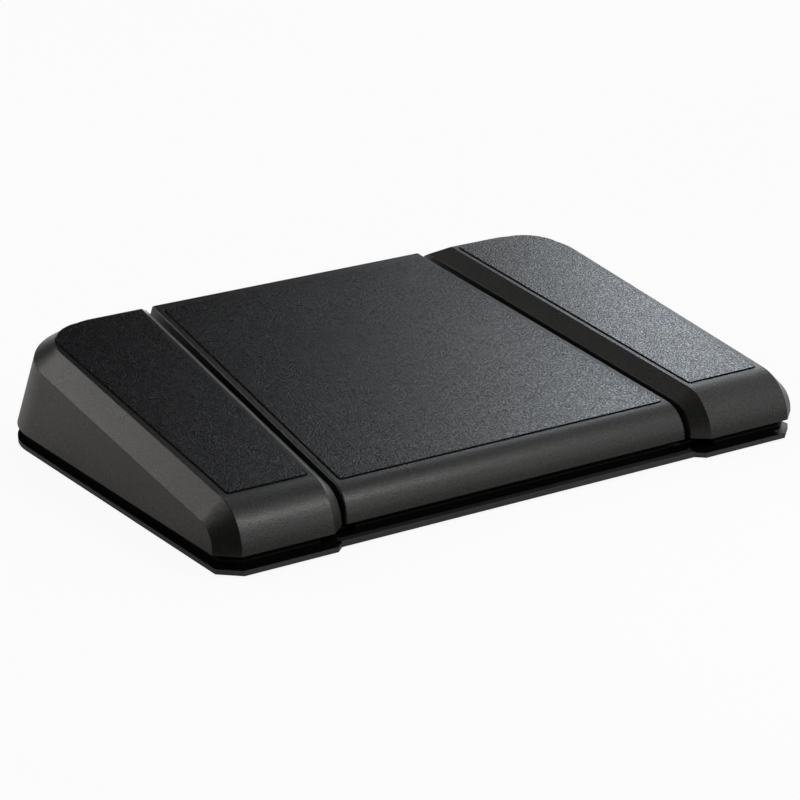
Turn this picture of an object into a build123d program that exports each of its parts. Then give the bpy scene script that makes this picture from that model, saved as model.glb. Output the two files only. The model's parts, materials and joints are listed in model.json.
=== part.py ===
from build123d import *
from math import cos, pi, radians, sin, sqrt, tan
import os

os.makedirs("parts", exist_ok=True)

# Driving sizes of the whole foot switch, in millimetres
# X runs to the right, Y to the back, Z up, and the rubber feet stand on Z = 0
overall_width = 244.0
overall_depth = 188.0
foot_stand = 0.8
lip_z = 7.9
slope_angle = radians(8.53)
lean_angle = radians(30.0)
draft_degrees = 2.0
inner_draft_degrees = 0.5
gap_angle = radians(3.7)
gap_width = 1.8
gap_place_share = 0.54877
pedal_wall = 2.6
pedal_travel_degrees = 1.3

# Values worked out from the driving sizes
front_y = -overall_depth / 2
back_y = overall_depth / 2
half_width = overall_width / 2
slope = tan(slope_angle)
lean = tan(lean_angle)
draft = tan(radians(draft_degrees))
inner_draft = tan(radians(inner_draft_degrees))
gap_taper = tan(gap_angle)
travel = radians(pedal_travel_degrees)
gap_middle_x = gap_place_share * half_width
gap_front_x = gap_middle_x - gap_taper * front_y

# Cuts run past the faces they open by this much
overrun = 1.0

# Pedal forms are drawn from well below the lip to well above the top, and then cut off level
reach = 40.0
form_foot_z = lip_z - reach
form_height = 60.0

# Pedal outer forms: top height is that of the sloping top, carried on to Y = 0
lip_back_step = 0.7
lip_back_y = back_y - lip_back_step
corner_radius = 31.0
corner_inset_share = 2 - sqrt(2)
side_top_height = 36.84
side_roll_radius = 16.0
outer_ribbon = 7.3
inner_ribbon = 5.3
inner_ribbon_drop = 4.8
center_setback = 5.2
center_front_y = front_y + center_setback
center_top_height = 32.29
center_roll_radius = 11.3
center_edge_break = 0.5
rib_depth = 4.0
rib_thickness = 2.0
rib_low_z = 12.5
rib_place_shares = (-0.617, -0.149, 0.17, 0.511)

# Tread pads let into the pedal tops
pad_thickness = 1.4
pad_recess = 1.0
pad_groove = 0.45
pad_front_border = 15.0
pad_front_y = front_y + pad_front_border
pad_small_radius = 1.0
side_pad_outer_border = 10.9
side_pad_outer_x = half_width - side_pad_outer_border
side_pad_back_border = 32.4
side_pad_back_y = back_y - side_pad_back_border
side_pad_corner_radius = 15.0
side_pad_border = 2.3
center_pad_back_border = 26.0
center_pad_back_y = back_y - center_pad_back_border
center_pad_border = 2.9

# Base tray
tray_z = foot_stand
rim_height = 2.1
floor_z = tray_z + rim_height
rim_side_step = 0.9
rim_side_x = half_width - rim_side_step
rim_front_step = 0.5
rim_front_y = front_y + rim_front_step
rim_corner_cut = 7.2
rim_step_offset = 1.47
rim_step_x = gap_front_x + rim_step_offset
rim_step = 3.2
rim_corner_radius = 31.5
ledge_clearance = 0.5
ledge_top_z = 5.1
upstand_clearance = 1.0
upstand_thickness = 2.0
upstand_top_z = 9.0
notch_floor_z = 3.4
notch_inner_reach = 6.6
notch_outer_reach = 10.0
front_notch_x = (gap_front_x - notch_inner_reach, gap_front_x + notch_outer_reach)
front_notch_depth = 14.0
wall_strip_clearance = 1.0

# Ballast plate
plate_thickness = 1.2
plate_z = floor_z
plate_top_z = plate_z + plate_thickness
plate_side_edge = 8.0
plate_half_width = half_width - plate_side_edge
plate_front_edge = 12.0
plate_front_y = front_y + plate_front_edge
plate_back_edge = 10.0
plate_back_y = back_y - plate_back_edge
plate_front_cut = 8.0
plate_back_cut = 24.0
plate_hole_clearance = 0.5

# Hinges near the back of each pedal
hinge_back_distance = 19.0
hinge_y = back_y - hinge_back_distance
hinge_z = 14.0
pin_radius = 2.0
pin_running_clearance = 0.05
side_hinge_share = 0.4179
side_hinge_x = gap_middle_x + side_hinge_share * (half_width - gap_middle_x)
side_ear_x = 8.0
center_ear_share = 0.5982
center_ear_x = center_ear_share * gap_middle_x
bracket_sheet = 2.0
bracket_base_sheet = 1.5
bracket_ear_radius = 5.5
bracket_depth = 16.0
bracket_foot_width = 14.0
bracket_screw_pitch = 8.0
ear_side_clearance = 0.3
pedal_ear_thickness = 4.0
pedal_ear_radius = 6.5
clip_thickness = 0.6
clip_radius = 3.6
clip_slot = 2.4
groove_depth = 0.4
pin_end_length = 1.0

# Return springs
spring_y = -30.0
mechanism_share = 0.5277
side_mechanism_x = gap_middle_x + mechanism_share * (half_width - gap_middle_x)
spring_wire_radius = 0.45
spring_mean_radius = 3.55
spring_turns = 6
spring_seat_drop = 7.79
spring_seat_z = center_top_height + slope * spring_y - spring_seat_drop
seat_boss_radius = 4.5
spigot_radius = 2.6
spigot_length = 3.0
spring_end_clearance = 0.03
post_top_z = 9.5

# Rubber stops below each pedal, and the catch that holds it down
stop_front_distance = 22.0
stop_y = front_y + stop_front_distance
center_stop_x = 45.0
stop_radius = 4.0
stop_height = 2.9
stop_gap = 0.25
stop_post_width = 8.0
stop_post_depth = 6.0
catch_y = 0.0
catch_half_width = 11.0
catch_post_width = 4.0
catch_bar_depth = 5.0
catch_bar_z = (8.75, 10.75)
hook_half_width = 6.0
hook_gap = 0.4
hook_plate = 2.4
hook_toe_z = (6.6, 8.55)
hook_toe_reach = 1.5

# Circuit board
board_thickness = 1.6
board_z = 4.6
board_top_z = board_z + board_thickness
board_end = 8.0
board_half_width = side_mechanism_x + board_end
board_depth = 30.0
board_hinge_distance = 21.0
board_y = (hinge_y - board_hinge_distance - board_depth, hinge_y - board_hinge_distance)
tongue_half_width = 8.5
board_boss_radius = 3.2
board_screw_edge = 6.0
board_screw_offset = 10.0
board_outer_screw_x = side_mechanism_x - board_screw_offset
board_inner_screw_x = 50.0
board_screw_places = [(side * x, y) for side in (-1, 1) for x, y in (
    (board_outer_screw_x, board_y[0] + board_screw_edge), (board_inner_screw_x, board_y[1] - board_screw_edge))]
chip_size = 7.0
chip_height = 1.0
chip_x = 22.0
chip_edge = 18.0
chip_place = (chip_x, board_y[0] + chip_edge)
small_part = (1.6, 0.8, 0.6)
small_part_pitch = 3.2
small_part_count = (6, 3)
crystal_size = (5.0, 3.2, 1.2)
crystal_distance = 9.5
crystal_place = (chip_place[0], chip_place[1] - crystal_distance)

# Snap-action switches with a hinged lever
switch_hinge_distance = 37.0
switch_y = hinge_y - switch_hinge_distance
switch_body = (6.4, 19.8, 10.2)
lever_pivot_offset = 7.5
lever_arm = 12.0
lever_length = 15.0
lever_width = 4.0
lever_sheet = 0.5
lever_angle = radians(6.0)
pivot_lift = 1.1
barrel_radius = 0.6
trunnion_radius = 0.35
trunnion_length = 0.8
cheek_thickness = 0.9
cheek_gap = 0.1
cheek_length = 2.4
cheek_height = 1.8
plunger_arm = 5.0
plunger_size = (2.4, 1.6)
plunger_depth = 3.0
plunger_clearance = 0.1
lever_gap = 0.15
actuator_size = (4.0, 2.0)
terminal_size = (1.2, 0.5)
terminal_pitch = 7.6

# Socket for the lead, and the housing round it at the back of the tray
shell_width = 8.94
shell_height = 3.26
shell_length = 7.3
shell_wall = 0.3
shell_end_radius = 1.28
tongue_size = (6.7, 4.4, 0.7)
socket_clearance = 0.1
housing_half_width = 15.0
housing_top_z = 13.4
housing_depth = 14.5
housing_front_y = back_y - housing_depth
plug_recess_depth = 7.1
housing_web = 1.2
housing_web_y = (back_y - plug_recess_depth - housing_web, back_y - plug_recess_depth)
tongue_end_gap = 0.2
tongue_end_y = housing_web_y[0] - tongue_end_gap
housing_inner_half_width = 9.0
housing_inner_top_z = 10.2
plug_recess = (13.0, 7.2)
plug_recess_radius = 2.0
housing_clearance = 2.2

# Screws and feet
m3_radius = 1.5
m3_head_radius = 2.7
m25_radius = 1.25
m25_head_radius = 2.4
head_height = 1.8
drive_slot = (0.7, 2.6, 1.0)
screw_tip_z = 1.9
plate_screw_x_share = 0.4918
plate_screw_front_edge = 24.0
plate_screw_middle_y = 10.0
plate_screw_back_edge = 32.0
plate_screw_rows = (front_y + plate_screw_front_edge, plate_screw_middle_y, back_y - plate_screw_back_edge)
plate_screw_places = [(side * plate_screw_x_share * half_width, y) for side in (-1, 1) for y in plate_screw_rows]
plate_screw_head_height = 1.3
foot_size = (38.0, 12.0)
foot_recess = 1.0
foot_radius = 4.0
foot_edge = 20.0
front_foot_share = 0.7213
back_foot_share = 0.6393
center_foot_edge = 34.0
center_back_foot_y = back_y - center_foot_edge
foot_places = [(side * front_foot_share * half_width, front_y + foot_edge) for side in (-1, 0, 1)]
foot_places += [(side * back_foot_share * half_width, back_y - foot_edge) for side in (-1, 1)]
foot_places += [(0, center_back_foot_y)]


def box(x, y, z):
    """Solid block between a low and a high value along each axis."""
    middle = Pos((x[0] + x[1]) / 2, (y[0] + y[1]) / 2, (z[0] + z[1]) / 2)
    return middle * Box(x[1] - x[0], y[1] - y[0], z[1] - z[0])


def upright(x, y, radius, z):
    """Solid round bar along Z between two heights."""
    return Pos(x, y, (z[0] + z[1]) / 2) * Cylinder(radius, z[1] - z[0])


def crossbar(x, y, z, radius):
    """Solid round bar along X between two X values."""
    return Pos((x[0] + x[1]) / 2, y, z) * Rot(0, 90, 0) * Cylinder(radius, x[1] - x[0])


def nearest_edges(shape, points):
    """The edges of a shape that pass nearest to each of some points."""
    return [min(shape.edges(), key=lambda edge: edge.distance_to(Vertex(*point))) for point in points]


def mirrored(shape):
    """The same piece on the other side of the middle."""
    return mirror(shape, about=Plane.YZ)


# Pedal forms

def profile_points(front, radius, height, inset):
    """Corner and tangent points of a pedal's side view, its faces moved inwards by inset."""
    roll_y = front + radius
    roll_z = height + slope * roll_y - radius / cos(slope_angle)
    small = radius - inset
    middle_angle = (pi + pi / 2 + slope_angle) / 2
    top = height - inset / cos(slope_angle)
    back = lip_back_y - inset / cos(lean_angle)
    ridge_y = (back - lean * (top - lip_z)) / (1 + lean * slope)
    return {
        "roll start": (roll_y - small, roll_z),
        "roll middle": (roll_y + small * cos(middle_angle), roll_z + small * sin(middle_angle)),
        "roll end": (roll_y - small * sin(slope_angle), roll_z + small * cos(slope_angle)),
        "ridge": (ridge_y, top + slope * ridge_y),
        "back": back,
    }


def profile_slab(points, x):
    """A pedal's side view, its front and back carried on downwards, drawn out between two X values."""
    front_foot = (points["roll start"][0], form_foot_z)
    back_foot = (points["back"] + lean * (lip_z - form_foot_z), form_foot_z)
    outline = [
        Line(front_foot, points["roll start"]),
        ThreePointArc(points["roll start"], points["roll middle"], points["roll end"]),
        Line(points["roll end"], points["ridge"]),
        Line(points["ridge"], back_foot),
        Line(back_foot, front_foot),
    ]
    face = Pos(x[0], 0, 0) * (Plane.YZ * make_face(outline))
    return extrude(face, amount=x[1] - x[0], dir=(1, 0, 0))


def nearest_face(shape, point):
    """The face of a shape that passes nearest to a point."""
    return min(shape.faces(), key=lambda face: face.distance_to(Vertex(*point)))


def drafted_block(corners, degrees):
    """A plan outline drawn upwards from well below the lip, its sides leaning in by the draft."""
    face = Pos(0, 0, form_foot_z) * make_face(Polyline(*corners, close=True))
    return extrude(face, amount=reach + form_height, taper=degrees)


def cut_level(form, bottom):
    """A form without what lies below its bottom height."""
    x = (-half_width - reach, half_width + reach)
    return form - box(x, (front_y - reach, back_y + reach), (form_foot_z - overrun, bottom))


def side_inner_x(y, z, inset):
    """Where the inner wall of the left pedal stands."""
    at_lip = gap_middle_x + gap_width / 2 + inset / cos(gap_angle) - gap_taper * y
    return -(at_lip + inner_draft * (z - lip_z))


def side_outer_x(z, inset):
    """Where the outer wall of the left pedal stands."""
    return -(half_width - inset - draft * (z - lip_z))


def side_form(inset, bottom):
    """Outer form of the left pedal, every face moved inwards by inset."""
    points = profile_points(front_y, side_roll_radius, side_top_height, inset)
    low, high = front_y - reach, back_y + reach
    outer, far = side_outer_x(form_foot_z, inset), -half_width - reach
    outer_plan = [(outer, low), (0, low), (0, high), (outer, high)]
    inner_plan = [(far, low), (side_inner_x(low, form_foot_z, inset), low),
                  (side_inner_x(high, form_foot_z, inset), high), (far, high)]
    form = drafted_block(outer_plan, draft_degrees) & drafted_block(inner_plan, inner_draft_degrees)
    form = form & profile_slab(points, (far, 0))

    ridge_y, ridge_z = points["ridge"]
    back_z = (lip_z + ridge_z) / 2
    back_wall_y = points["back"] - lean * (back_z - lip_z)
    form = fillet(nearest_edges(form, [(side_outer_x(back_z, inset), back_wall_y, back_z)]), corner_radius - inset)

    front, start_z = points["roll start"]
    arc_y, arc_z = points["roll middle"]
    top_z = side_top_height - inset / cos(slope_angle)
    low_z = (form_foot_z + start_z) / 2
    round_share = 1 - sqrt(2) / 2
    corner_out = (corner_radius - inset) * round_share
    outer_line = [
        (side_outer_x(low_z, inset), front, low_z),
        (side_outer_x(arc_z, inset), arc_y, arc_z),
        (side_outer_x(top_z, inset), 0, top_z),
        (side_outer_x(ridge_z, inset) + corner_out, ridge_y - corner_out, ridge_z - slope * corner_out),
        ((side_outer_x(ridge_z, inset) + side_inner_x(ridge_y, ridge_z, inset)) / 2, ridge_y, ridge_z),
    ]
    form = chamfer(nearest_edges(form, outer_line), outer_ribbon - inset * corner_inset_share)
    inner_line = [
        (side_inner_x(front, low_z, inset), front, low_z),
        (side_inner_x(arc_y, arc_z, inset), arc_y, arc_z),
        (side_inner_x(0, top_z, inset), 0, top_z),
    ]
    inner_wall = nearest_face(form, (side_inner_x(0, back_z, inset), 0, back_z))
    cut = inset * corner_inset_share
    edges = nearest_edges(form, inner_line)
    form = chamfer(edges, inner_ribbon_drop - cut, inner_ribbon - cut, reference=inner_wall)
    return cut_level(form, bottom)


def center_edge_x(y, z, inset):
    """Half the width of the center pedal."""
    at_lip = gap_middle_x - gap_width / 2 - inset / cos(gap_angle) - gap_taper * y
    return at_lip - draft * (z - lip_z)


def center_form(inset, bottom):
    """Outer form of the center pedal, every face moved inwards by inset."""
    points = profile_points(center_front_y, center_roll_radius, center_top_height, inset)
    low, high = front_y - reach, back_y + reach
    front_x = center_edge_x(low, form_foot_z, inset)
    back_x = center_edge_x(high, form_foot_z, inset)
    plan = [(-front_x, low), (front_x, low), (back_x, high), (-back_x, high)]
    form = drafted_block(plan, draft_degrees) & profile_slab(points, (-half_width, half_width))
    return cut_level(form, bottom)


def pad_plane(height):
    """The sloping top of a pedal as a drawing plane."""
    return Plane(origin=(0, 0, height), x_dir=(1, 0, 0), z_dir=(0, -sin(slope_angle), cos(slope_angle)))


def on_slope(points):
    """Plan points laid out along the sloping top."""
    return [(x, y / cos(slope_angle)) for x, y in points]


def nearest_corners(face, points):
    """The corners of a face that lie nearest to each of some points."""
    return [min(face.vertices(), key=lambda corner: corner.distance_to(Vertex(x, y, 0))) for x, y in points]


def side_pad_face():
    """Outline of the left pad on the sloping top."""
    def inner(y):
        wall = side_inner_x(y, side_top_height + slope * y, 0)
        return wall - inner_ribbon - side_pad_border
    front_outer = (-side_pad_outer_x, pad_front_y)
    front_inner = (inner(pad_front_y), pad_front_y)
    back_inner = (inner(side_pad_back_y), side_pad_back_y)
    back_outer = (-side_pad_outer_x, side_pad_back_y)
    corners = on_slope([front_outer, front_inner, back_inner, back_outer])
    face = make_face(Polyline(*corners, close=True))
    face = fillet(nearest_corners(face, corners[3:]), side_pad_corner_radius)
    return fillet(nearest_corners(face, corners[:3]), pad_small_radius)


def center_pad_face():
    """Outline of the center pad on the sloping top."""
    def edge(y):
        return center_edge_x(y, center_top_height + slope * y, 0) - center_pad_border
    front, back = edge(pad_front_y), edge(center_pad_back_y)
    corners = [(-front, pad_front_y), (front, pad_front_y), (back, center_pad_back_y), (-back, center_pad_back_y)]
    face = make_face(Polyline(*on_slope(corners), close=True))
    return fillet(face.vertices(), pad_small_radius)


def pad_solid(face, height):
    """A tread pad lying in its recess."""
    lower = pad_plane(height).offset(-pad_recess)
    return extrude(lower * face, amount=pad_thickness)


def pad_pocket(face, height):
    """The recess for a pad, with the groove round it."""
    lower = pad_plane(height).offset(-pad_recess)
    return extrude(lower * offset(face, amount=pad_groove), amount=pad_recess + overrun)


# Inside of the pedals

def frame_ribs(form, inner, deep):
    """Shallow ribs across the inside of a pedal, from wall to wall."""
    ring = form - deep
    starts = [share * back_y for share in rib_place_shares]
    slabs = [box((-half_width, half_width), (y, y + rib_thickness), (rib_low_z, form_height)) for y in starts]
    return (ring & (Part() + slabs)) - (form - inner)


def hinge_ears(x, spread):
    """Solid ears that hang from the pedal beside its hinge brackets, their bores still closed."""
    first = spread + bracket_sheet + ear_side_clearance
    ears = []
    for side in (-1, 1):
        inner_x = x + side * first
        outer_x = inner_x + side * pedal_ear_thickness
        span = (min(inner_x, outer_x), max(inner_x, outer_x))
        ears.append(crossbar(span, hinge_y, hinge_z, pedal_ear_radius))
        ears.append(box(span, (hinge_y - pedal_ear_radius, hinge_y + pedal_ear_radius), (hinge_z, form_height)))
    return Part() + ears


def pedal_mechanics(x, hinge_x, ear_spread, stop_places):
    """Everything that hangs inside one pedal: ears, spring boss, switch actuator, hook and stop posts."""
    actuator_y = switch_y + lever_pivot_offset - lever_arm
    rise = barrel_to_strip(lever_arm + actuator_size[1] / 2)
    actuator_z = board_top_z + switch_body[2] + pivot_lift + rise + lever_gap
    half_x, half_y = actuator_size[0] / 2, actuator_size[1] / 2
    pieces = [
        hinge_ears(hinge_x, ear_spread),
        upright(x, spring_y, seat_boss_radius, (spring_seat_z, form_height)),
        upright(x, spring_y, spigot_radius, (spring_seat_z - spigot_length, form_height)),
        box((x - half_x, x + half_x), (actuator_y - half_y, actuator_y + half_y), (actuator_z, form_height)),
        box((x - hook_half_width, x + hook_half_width), hook_plate_y(), (hook_toe_z[0], form_height)),
        box((x - hook_half_width, x + hook_half_width), (catch_y - hook_toe_reach, hook_plate_y()[1]), hook_toe_z),
    ]
    drop = (hinge_y - stop_y) * sin(travel)
    low = plate_top_z + stop_height + drop + stop_gap
    for place in stop_places:
        half_x, half_y = stop_post_width / 2, stop_post_depth / 2
        pieces.append(box((place - half_x, place + half_x), (stop_y - half_y, stop_y + half_y), (low, form_height)))
    return Part() + pieces


def hook_plate_y():
    """Front and back of the hook's upright plate, just behind the catch bar."""
    start = catch_y + catch_bar_depth / 2 + hook_gap
    return (start, start + hook_plate)


def barrel_to_strip(distance):
    """Height of the lever's upper face over its pivot, at a distance from it."""
    return lever_sheet / cos(lever_angle) + distance * tan(lever_angle)


def pedal_shell(form, inner, deep, middle, mechanics, pocket, bores):
    """A hollow pedal with its ribs, its inner mechanics and its pad recess."""
    shell = form - inner
    shell += frame_ribs(form, inner, deep)
    shell += mechanics & middle
    shell -= pocket
    return shell - bores


def ear_bores(x, spread):
    """The running bores through both ears of a pedal."""
    length = spread + bracket_sheet + ear_side_clearance + pedal_ear_thickness + overrun
    return crossbar((x - length, x + length), hinge_y, hinge_z, pin_radius + pin_running_clearance)


def left_pedal_shell():
    """The left pedal without its pad."""
    form = side_form(0, lip_z)
    inner = side_form(pedal_wall, lip_z - overrun)
    deep = side_form(pedal_wall + rib_depth, lip_z - overrun)
    middle = side_form(pedal_wall / 2, hook_toe_z[0] - overrun)
    mechanics = pedal_mechanics(-side_mechanism_x, -side_hinge_x, side_ear_x, [-side_mechanism_x])
    pocket = pad_pocket(side_pad_face(), side_top_height)
    bores = ear_bores(-side_hinge_x, side_ear_x)
    return pedal_shell(form, inner, deep, middle, mechanics, pocket, bores)


def center_pedal_shell():
    """The center pedal without its pad, open at the back over the socket housing."""
    form = center_form(0, lip_z)
    form = chamfer(nearest_edges(form, center_rims()), center_edge_break)
    inner = center_form(pedal_wall, lip_z - overrun)
    deep = center_form(pedal_wall + rib_depth, lip_z - overrun)
    middle = center_form(pedal_wall / 2, hook_toe_z[0] - overrun)
    mechanics = pedal_mechanics(0, 0, center_ear_x, [-center_stop_x, center_stop_x])
    pocket = pad_pocket(center_pad_face(), center_top_height)
    bores = ear_bores(0, center_ear_x)
    shell = pedal_shell(form, inner, deep, middle, mechanics, pocket, bores)
    side = housing_half_width + housing_clearance
    notch_top = housing_top_z + housing_clearance
    return shell - box((-side, side), (housing_front_y - overrun, back_y), (lip_z - overrun, notch_top))


def center_rims():
    """Points on the long upper edges of the center pedal."""
    arc_y, arc_z = profile_points(center_front_y, center_roll_radius, center_top_height, 0)["roll middle"]
    points = []
    for side in (-1, 1):
        points.append((side * center_edge_x(arc_y, arc_z, 0), arc_y, arc_z))
        points.append((side * center_edge_x(0, center_top_height, 0), 0, center_top_height))
    return points


# Base tray

def tray_outline(side_x, side_front, corner_cut, step_x, step, back, radius):
    """Plan of the tray: cut front corners, a set-back middle and round back corners."""
    half = [(step_x, side_front + step), (step_x + step, side_front), (side_x - corner_cut, side_front),
            (side_x, side_front + corner_cut), (side_x, back)]
    points = half + [(-x, y) for x, y in reversed(half)]
    face = make_face(Polyline(*points, close=True))
    return fillet(nearest_corners(face, [(side_x, back), (-side_x, back)]), radius)


def inset_outline(clearance):
    """Plan inside the pedals' walls, a clearance away from them."""
    inset = pedal_wall + clearance
    step = center_front_y - front_y
    ring_step_x = gap_middle_x - gap_taper * center_front_y
    back = lip_back_y - pedal_wall / cos(lean_angle) - clearance - lean * (upstand_top_z - lip_z)
    cut = outer_ribbon - inset * corner_inset_share
    radius = corner_radius - inset
    return tray_outline(half_width - inset, front_y + inset, cut, ring_step_x, step, back, radius)


def pedal_wall_strips():
    """Space along both gaps where the pedals' inner walls come down."""
    half = gap_width / 2 + pedal_wall + wall_strip_clearance
    strips = []
    for side in (-1, 1):
        line = [(side * (gap_middle_x - gap_taper * y), y) for y in (front_y - reach, back_y + reach)]
        corners = [(line[0][0] - half, line[0][1]), (line[0][0] + half, line[0][1]),
                   (line[1][0] + half, line[1][1]), (line[1][0] - half, line[1][1])]
        face = Pos(0, 0, notch_floor_z) * make_face(Polyline(*corners, close=True))
        strips.append(extrude(face, amount=form_height))
        front = (front_y, front_y + front_notch_depth)
        span = (min(side * x for x in front_notch_x), max(side * x for x in front_notch_x))
        strips.append(box(span, front, (notch_floor_z, form_height)))
    return Part() + strips


def tray_upstands():
    """The wall inside the pedals, with its lower ledge, left out under their inner walls."""
    ledge = inset_outline(ledge_clearance)
    wall = inset_outline(upstand_clearance)
    hollow = inset_outline(upstand_clearance + upstand_thickness)
    ring = extrude(Pos(0, 0, floor_z) * ledge, amount=ledge_top_z - floor_z)
    ring += extrude(Pos(0, 0, floor_z) * wall, amount=upstand_top_z - floor_z)
    ring -= extrude(Pos(0, 0, floor_z - overrun) * hollow, amount=form_height)
    return ring - pedal_wall_strips()


def catch_portal(x):
    """Two posts and a bar under which a pedal's hook is held."""
    half = catch_bar_depth / 2
    depth = (catch_y - half, catch_y + half)
    bar = box((x - catch_half_width, x + catch_half_width), depth, catch_bar_z)
    inner = catch_half_width - catch_post_width
    posts = [box((x + low, x + high), depth, (floor_z, catch_bar_z[1]))
             for low, high in ((-catch_half_width, -inner), (inner, catch_half_width))]
    return Part() + [bar] + posts


def socket_housing():
    """Block at the back of the tray round the socket and the plug recess."""
    half = housing_half_width
    block = box((-half, half), (housing_front_y, back_y), (floor_z - overrun, housing_top_z))
    back = profile_points(center_front_y, center_roll_radius, center_top_height, 0)
    return block & profile_slab(back, (-half, half))


def socket_cuts():
    """Room for the socket, the board's tongue and the plug."""
    inner = housing_inner_half_width
    room = box((-inner, inner), (housing_front_y - overrun, housing_web_y[0]), (floor_z, housing_inner_top_z))
    axis_z = board_top_z + shell_height / 2
    window = socket_bar(socket_clearance, (housing_web_y[0] - overrun, housing_web_y[1] + overrun))
    recess_face = Plane.XZ * RectangleRounded(*plug_recess, plug_recess_radius)
    recess = Pos(0, housing_web_y[1], axis_z) * extrude(recess_face, amount=-form_height)
    return Part() + [room, window, recess]


def socket_bar(margin, y):
    """Solid bar with the section of the socket's shell, grown by a margin."""
    axis_z = board_top_z + shell_height / 2
    face = RectangleRounded(shell_width + 2 * margin, shell_height + 2 * margin, shell_end_radius + margin)
    return Pos(0, y[0], axis_z) * extrude(Plane.XZ * face, amount=y[0] - y[1])


def foot_block(x, y, margin, z):
    """Rounded rubber foot, or its recess when grown by a margin."""
    face = RectangleRounded(foot_size[0] + margin, foot_size[1] + margin, foot_radius)
    return Pos(x, y, z[0]) * extrude(face, amount=z[1] - z[0])


def base_tray():
    """The plastic tray that carries everything."""
    rim = tray_outline(rim_side_x, rim_front_y, rim_corner_cut, rim_step_x, rim_step, back_y, rim_corner_radius)
    tray = extrude(Pos(0, 0, tray_z) * rim, amount=rim_height)
    tray += tray_upstands()
    tray += socket_housing()
    tray -= socket_cuts()
    for x in (-side_mechanism_x, 0, side_mechanism_x):
        tray += upright(x, spring_y, spigot_radius, (floor_z, post_top_z))
        tray += catch_portal(x)
    for x, y in board_screw_places:
        tray += upright(x, y, board_boss_radius, (floor_z, board_z))
        tray -= upright(x, y, m25_radius, (screw_tip_z, board_z))
    for x, y in bracket_screw_places():
        tray -= upright(x, y, m3_radius, (screw_tip_z, floor_z))
    for x, y in plate_screw_places:
        tray -= plate_screw_form(x, y)
    for x, y in foot_places:
        tray -= foot_block(x, y, 0, (0, tray_z + foot_recess))
    return tray


# Steel and rubber

def ballast_plate():
    """Flat steel plate on the floor of the tray, which gives the pedal its weight."""
    x, low, high = plate_half_width, plate_front_y, plate_back_y
    right = [(x - plate_front_cut, low), (x, low + plate_front_cut),
             (x, high - plate_back_cut), (x - plate_back_cut, high)]
    points = right + [(-px, py) for px, py in reversed(right)]
    plate = extrude(Pos(0, 0, plate_z) * make_face(Polyline(*points, close=True)), amount=plate_thickness)
    z = (plate_z - overrun, plate_top_z + overrun)
    half = housing_half_width + plate_hole_clearance
    plate -= box((-half, half), (housing_front_y - plate_hole_clearance, back_y), z)
    for place in (-side_mechanism_x, 0, side_mechanism_x):
        plate -= upright(place, spring_y, spigot_radius + plate_hole_clearance, z)
        reach_x = catch_half_width + plate_hole_clearance
        reach_y = catch_bar_depth / 2 + plate_hole_clearance
        plate -= box((place - reach_x, place + reach_x), (catch_y - reach_y, catch_y + reach_y), z)
    for px, py in board_screw_places:
        plate -= upright(px, py, board_boss_radius + plate_hole_clearance, z)
    for px, py in bracket_screw_places() + list(plate_screw_places):
        plate -= upright(px, py, m3_radius, z)
    return plate


def bracket_screw_places():
    """Where the hinge brackets are screwed down."""
    center_foot_x = center_ear_x - bracket_foot_width / 2
    columns = (-side_hinge_x, -center_foot_x, center_foot_x, side_hinge_x)
    return [(x, hinge_y + side * bracket_screw_pitch / 2) for x in columns for side in (-1, 1)]


def bracket_ear(x):
    """Upright ear of a hinge bracket between two X values, with its bore."""
    y = (hinge_y - bracket_ear_radius, hinge_y + bracket_ear_radius)
    ear = box(x, y, (plate_top_z, hinge_z)) + crossbar(x, hinge_y, hinge_z, bracket_ear_radius)
    return ear - crossbar((x[0] - overrun, x[1] + overrun), hinge_y, hinge_z, pin_radius)


def bracket_foot(x):
    """Flat foot of a hinge bracket between two X values, with its screw holes."""
    half = bracket_depth / 2
    foot = box(x, (hinge_y - half, hinge_y + half), (plate_top_z, plate_top_z + bracket_base_sheet))
    for px, py in bracket_screw_places():
        foot -= upright(px, py, m3_radius, (plate_z, form_height))
    return foot


def side_bracket():
    """U-shaped hinge bracket of the left pedal."""
    near, far = -side_hinge_x - side_ear_x, -side_hinge_x + side_ear_x
    sheet = bracket_sheet
    ears = bracket_ear((near - sheet, near)) + bracket_ear((far, far + sheet))
    return bracket_foot((near - sheet, far + sheet)) + ears


def center_bracket():
    """L-shaped bracket at the left end of the center hinge."""
    ear_x = (-center_ear_x - bracket_sheet, -center_ear_x)
    return bracket_foot((ear_x[0], -center_ear_x + bracket_foot_width)) + bracket_ear(ear_x)


def pin_groove_x(spread):
    """Where the clip's groove starts and ends, measured from the middle of the pin."""
    ears = spread + bracket_sheet + ear_side_clearance + pedal_ear_thickness
    start = ears + ear_side_clearance
    return (start, start + clip_thickness)


def hinge_pin(x, spread):
    """Steel pin with a clip groove near each end."""
    start, end = pin_groove_x(spread)
    length = end + pin_end_length
    pin = crossbar((x - length, x + length), hinge_y, hinge_z, pin_radius)
    for low, high in ((start, end), (-end, -start)):
        ring = crossbar((x + low, x + high), hinge_y, hinge_z, pin_radius + overrun)
        pin -= ring - crossbar((x + low, x + high), hinge_y, hinge_z, pin_radius - groove_depth)
    return pin


def pin_clips():
    """Spring clips in the grooves of all hinge pins."""
    clips = []
    for x, spread in ((-side_hinge_x, side_ear_x), (0, center_ear_x), (side_hinge_x, side_ear_x)):
        start, end = pin_groove_x(spread)
        for low, high in ((start, end), (-end, -start)):
            span = (x + low, x + high)
            clip = crossbar(span, hinge_y, hinge_z, clip_radius)
            clip -= crossbar(span, hinge_y, hinge_z, pin_radius - groove_depth)
            half = clip_slot / 2
            clip -= box(span, (hinge_y - half, hinge_y + half), (hinge_z, hinge_z + clip_radius + overrun))
            clips.append(clip)
    return Compound(children=clips)


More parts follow.
